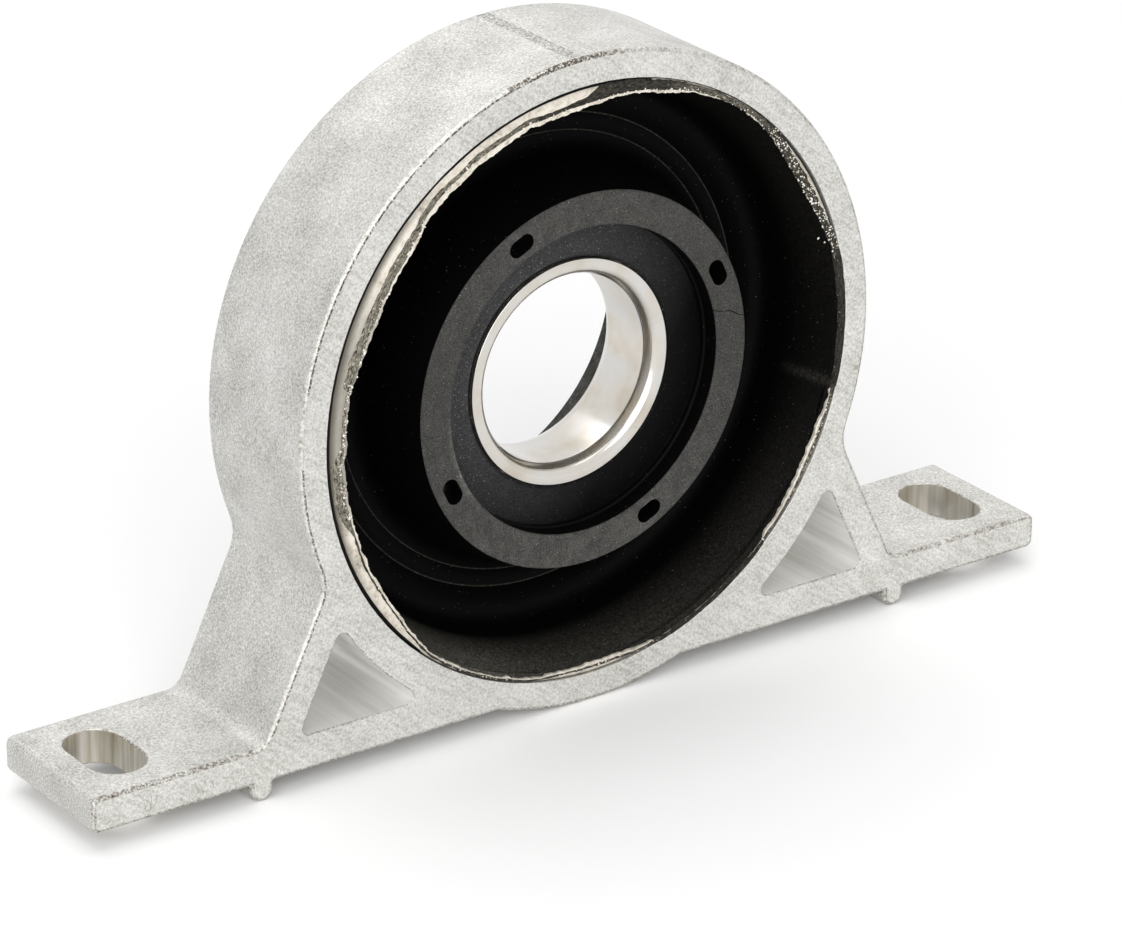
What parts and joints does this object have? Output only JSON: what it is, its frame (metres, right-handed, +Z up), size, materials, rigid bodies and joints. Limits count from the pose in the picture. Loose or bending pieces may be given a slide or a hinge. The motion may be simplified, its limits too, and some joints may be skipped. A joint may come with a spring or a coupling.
{
  "type": "driveshaft centre bearing",
  "caption": "Driveshaft centre bearing: a sealed ball bearing in a rubber mount, held in an aluminium bracket with slotted feet, that carries a two-piece driveshaft under a vehicle's floor.",
  "frame": {"origin": "Centre of the shaft bore, midway between the housing's two sawn faces.", "axes": "+Y runs along the shaft, away from the open front of the rubber trough. +X runs along the two feet. +Z is up, from the feet to the top of the ring."},
  "size_m": [0.176, 0.0357, 0.104],
  "materials": {
    "aluminium_profile": "sawn and tumbled, pale grey",
    "sleeve_metal": "pale, dull, with traces of bonding coat",
    "mount_rubber": "moulded, black, dusty on the hub",
    "bearing_steel": "ground and polished",
    "seal_rubber": "smooth, black",
    "cage_sheet": "pressed sheet, dull"
  },
  "bodies": {
    "mount": {"housing": "aluminium_profile", "outer_sleeve": "sleeve_metal", "rubber_mount": "mount_rubber", "bearing_outer_ring": "bearing_steel", "seal_front": "seal_rubber", "seal_rear": "seal_rubber"},
    "inner_ring": {"bearing_inner_ring": "bearing_steel"},
    "cage": {"cage_front": "cage_sheet", "cage_rear": "cage_sheet", "cage_rivets": "cage_sheet"},
    "ball_01_body": {"ball_01": "bearing_steel"},
    "ball_02_body": {"ball_02": "bearing_steel"},
    "ball_03_body": {"ball_03": "bearing_steel"},
    "ball_04_body": {"ball_04": "bearing_steel"},
    "ball_05_body": {"ball_05": "bearing_steel"},
    "ball_06_body": {"ball_06": "bearing_steel"},
    "ball_07_body": {"ball_07": "bearing_steel"},
    "ball_08_body": {"ball_08": "bearing_steel"},
    "ball_09_body": {"ball_09": "bearing_steel"},
    "ball_10_body": {"ball_10": "bearing_steel"},
    "ball_11_body": {"ball_11": "bearing_steel"}
  },
  "joints": [
    {"name": "inner_ring_spin", "type": "hinge", "parent": "mount", "child": "inner_ring", "pos_m": [0, 0, 0], "axis": [0, 1, 0], "continuous": true},
    {"name": "cage_orbit", "type": "hinge", "parent": "mount", "child": "cage", "pos_m": [0, 0, 0], "axis": [0, 1, 0], "continuous": true},
    {"name": "ball_01_spin", "type": "hinge", "parent": "cage", "child": "ball_01_body", "pos_m": [0.02125, 0, 0], "axis": [0, 1, 0], "continuous": true},
    {"name": "ball_02_spin", "type": "hinge", "parent": "cage", "child": "ball_02_body", "pos_m": [0.01788, 0, 0.01149], "axis": [0, 1, 0], "continuous": true},
    {"name": "ball_03_spin", "type": "hinge", "parent": "cage", "child": "ball_03_body", "pos_m": [0.00883, 0, 0.01933], "axis": [0, 1, 0], "continuous": true},
    {"name": "ball_04_spin", "type": "hinge", "parent": "cage", "child": "ball_04_body", "pos_m": [-0.00302, 0, 0.02103], "axis": [0, 1, 0], "continuous": true},
    {"name": "ball_05_spin", "type": "hinge", "parent": "cage", "child": "ball_05_body", "pos_m": [-0.01392, 0, 0.01606], "axis": [0, 1, 0], "continuous": true},
    {"name": "ball_06_spin", "type": "hinge", "parent": "cage", "child": "ball_06_body", "pos_m": [-0.02039, 0, 0.00599], "axis": [0, 1, 0], "continuous": true},
    {"name": "ball_07_spin", "type": "hinge", "parent": "cage", "child": "ball_07_body", "pos_m": [-0.02039, 0, -0.00599], "axis": [0, 1, 0], "continuous": true},
    {"name": "ball_08_spin", "type": "hinge", "parent": "cage", "child": "ball_08_body", "pos_m": [-0.01392, 0, -0.01606], "axis": [0, 1, 0], "continuous": true},
    {"name": "ball_09_spin", "type": "hinge", "parent": "cage", "child": "ball_09_body", "pos_m": [-0.00302, 0, -0.02103], "axis": [0, 1, 0], "continuous": true},
    {"name": "ball_10_spin", "type": "hinge", "parent": "cage", "child": "ball_10_body", "pos_m": [0.00883, 0, -0.01933], "axis": [0, 1, 0], "continuous": true},
    {"name": "ball_11_spin", "type": "hinge", "parent": "cage", "child": "ball_11_body", "pos_m": [0.01788, 0, -0.01149], "axis": [0, 1, 0], "continuous": true}
  ],
  "couplings": [
    {"joint": "cage_orbit", "follows": "inner_ring_spin", "ratio": 0.41595},
    {"joint": "ball_01_spin", "follows": "inner_ring_spin", "ratio": -2.8905},
    {"joint": "ball_02_spin", "follows": "inner_ring_spin", "ratio": -2.8905},
    {"joint": "ball_03_spin", "follows": "inner_ring_spin", "ratio": -2.8905},
    {"joint": "ball_04_spin", "follows": "inner_ring_spin", "ratio": -2.8905},
    {"joint": "ball_05_spin", "follows": "inner_ring_spin", "ratio": -2.8905},
    {"joint": "ball_06_spin", "follows": "inner_ring_spin", "ratio": -2.8905},
    {"joint": "ball_07_spin", "follows": "inner_ring_spin", "ratio": -2.8905},
    {"joint": "ball_08_spin", "follows": "inner_ring_spin", "ratio": -2.8905},
    {"joint": "ball_09_spin", "follows": "inner_ring_spin", "ratio": -2.8905},
    {"joint": "ball_10_spin", "follows": "inner_ring_spin", "ratio": -2.8905},
    {"joint": "ball_11_spin", "follows": "inner_ring_spin", "ratio": -2.8905}
  ]
}
